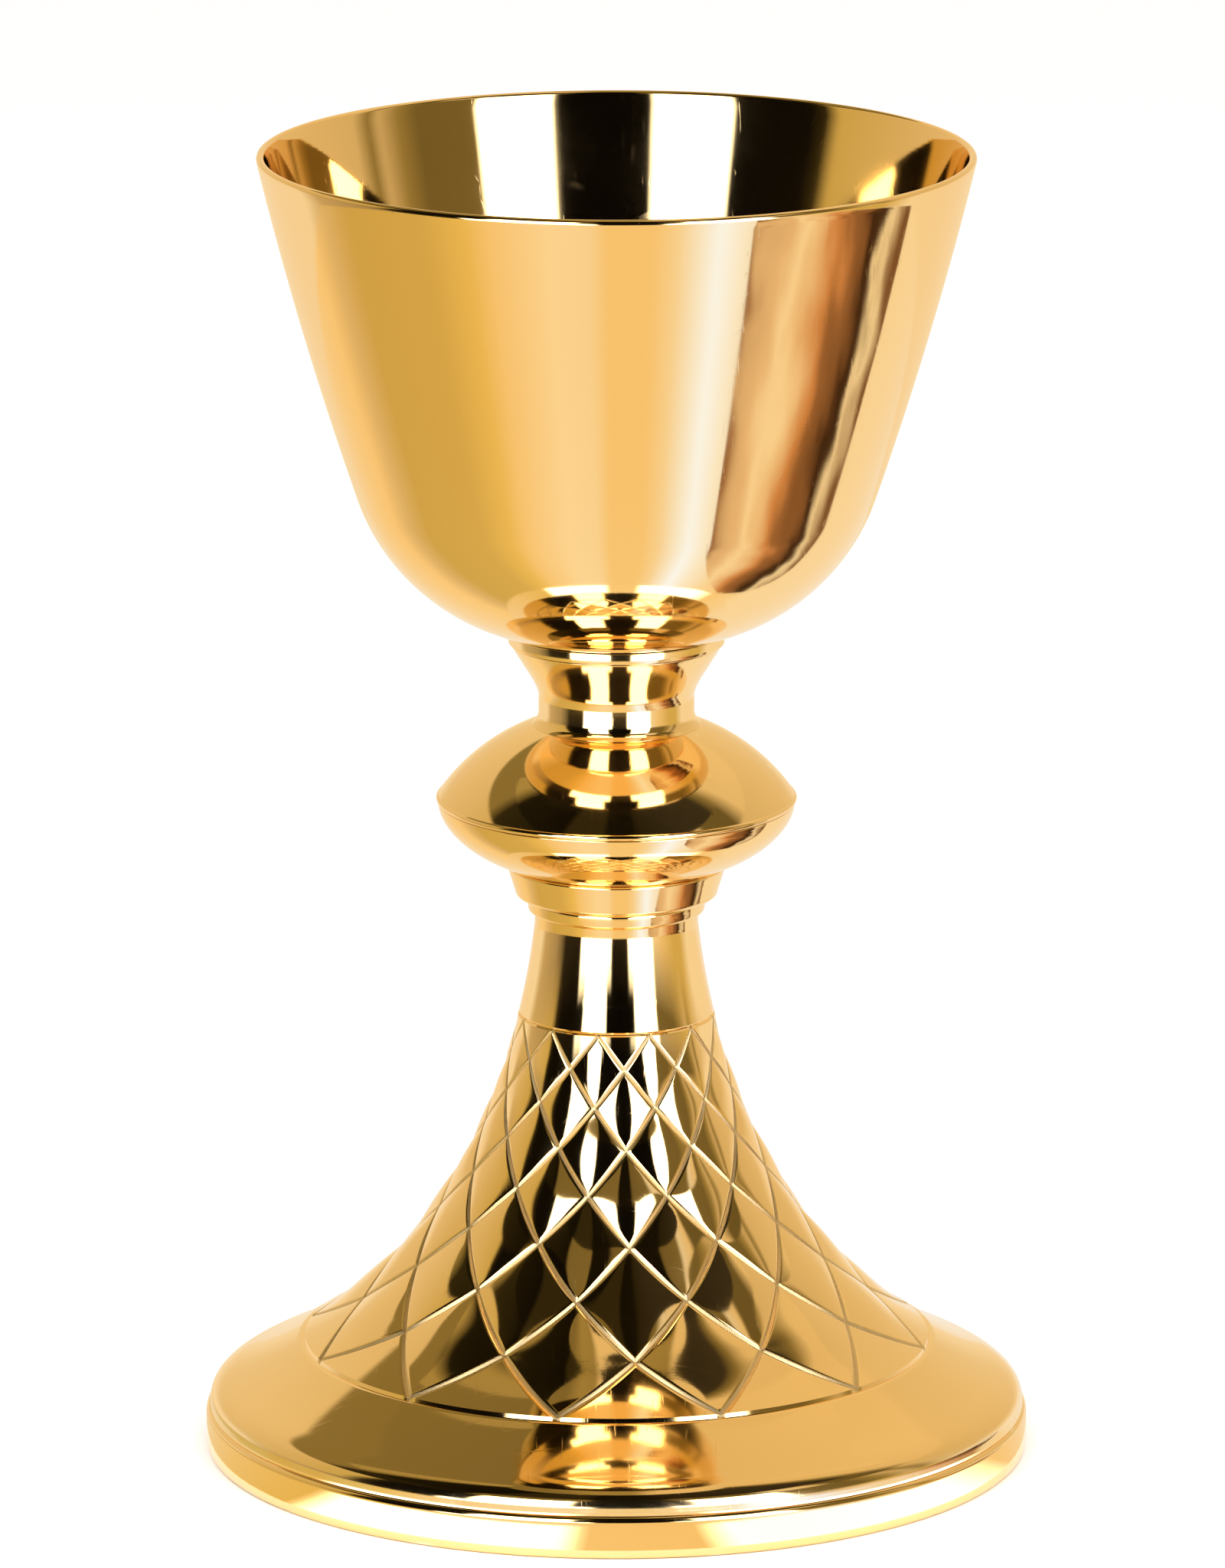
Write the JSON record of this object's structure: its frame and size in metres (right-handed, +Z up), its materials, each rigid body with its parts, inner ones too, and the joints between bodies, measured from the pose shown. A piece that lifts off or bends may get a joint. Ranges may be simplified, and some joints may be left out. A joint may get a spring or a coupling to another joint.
{
  "type": "communion chalice",
  "caption": "Stemmed church cup with a flared bowl that unscrews from a knopped stem, on a wide trumpet foot engraved with a diamond lattice.",
  "frame": {"origin": "on the axis, in the resting plane under the foot", "axes": "+Z up along the axis, from the foot to the rim of the cup"},
  "size_m": [0.1252, 0.1252, 0.2],
  "materials": {
    "gilt_cup": "mirror-polished gilding",
    "gilt_turned": "mirror-polished gilding on turned brass",
    "gilt_knop": "mirror-polished gilding on spun brass",
    "gilt_foot": "polished gilding with an engraved diamond lattice",
    "gilt_rim": "polished gilding",
    "bare_brass": "plain turned brass",
    "zinc_steel": "zinc-plated"
  },
  "bodies": {
    "base": {"foot": "gilt_foot", "foot_rim": "gilt_rim", "foot_cap": "bare_brass", "lower_ring": "gilt_turned", "lower_collar": "gilt_turned", "knop_lower": "gilt_knop", "knop_sleeve": "bare_brass", "knop_upper": "gilt_knop", "upper_stem": "gilt_turned", "stem_coupling": "bare_brass", "tie_rod": "zinc_steel", "clamp_washer": "zinc_steel", "lock_washer": "zinc_steel", "hex_nut": "zinc_steel"},
    "collar": {"cup_collar": "gilt_turned"},
    "cup_assembly": {"cup": "gilt_cup", "cup_boss": "bare_brass", "cup_stud": "bare_brass"}
  },
  "joints": [
    {"name": "cup_rise", "type": "slide", "parent": "base", "child": "collar", "axis": [0, 0, 1], "range_m": [0, 0.01]},
    {"name": "cup_screw", "type": "hinge", "parent": "collar", "child": "cup_assembly", "pos_m": [0, 0, 0.1252], "axis": [0, 0, 1], "range_deg": [0, 2880]}
  ],
  "couplings": [
    {"joint": "cup_rise", "follows": "cup_screw", "m_per_rad": 0.00019894}
  ]
}
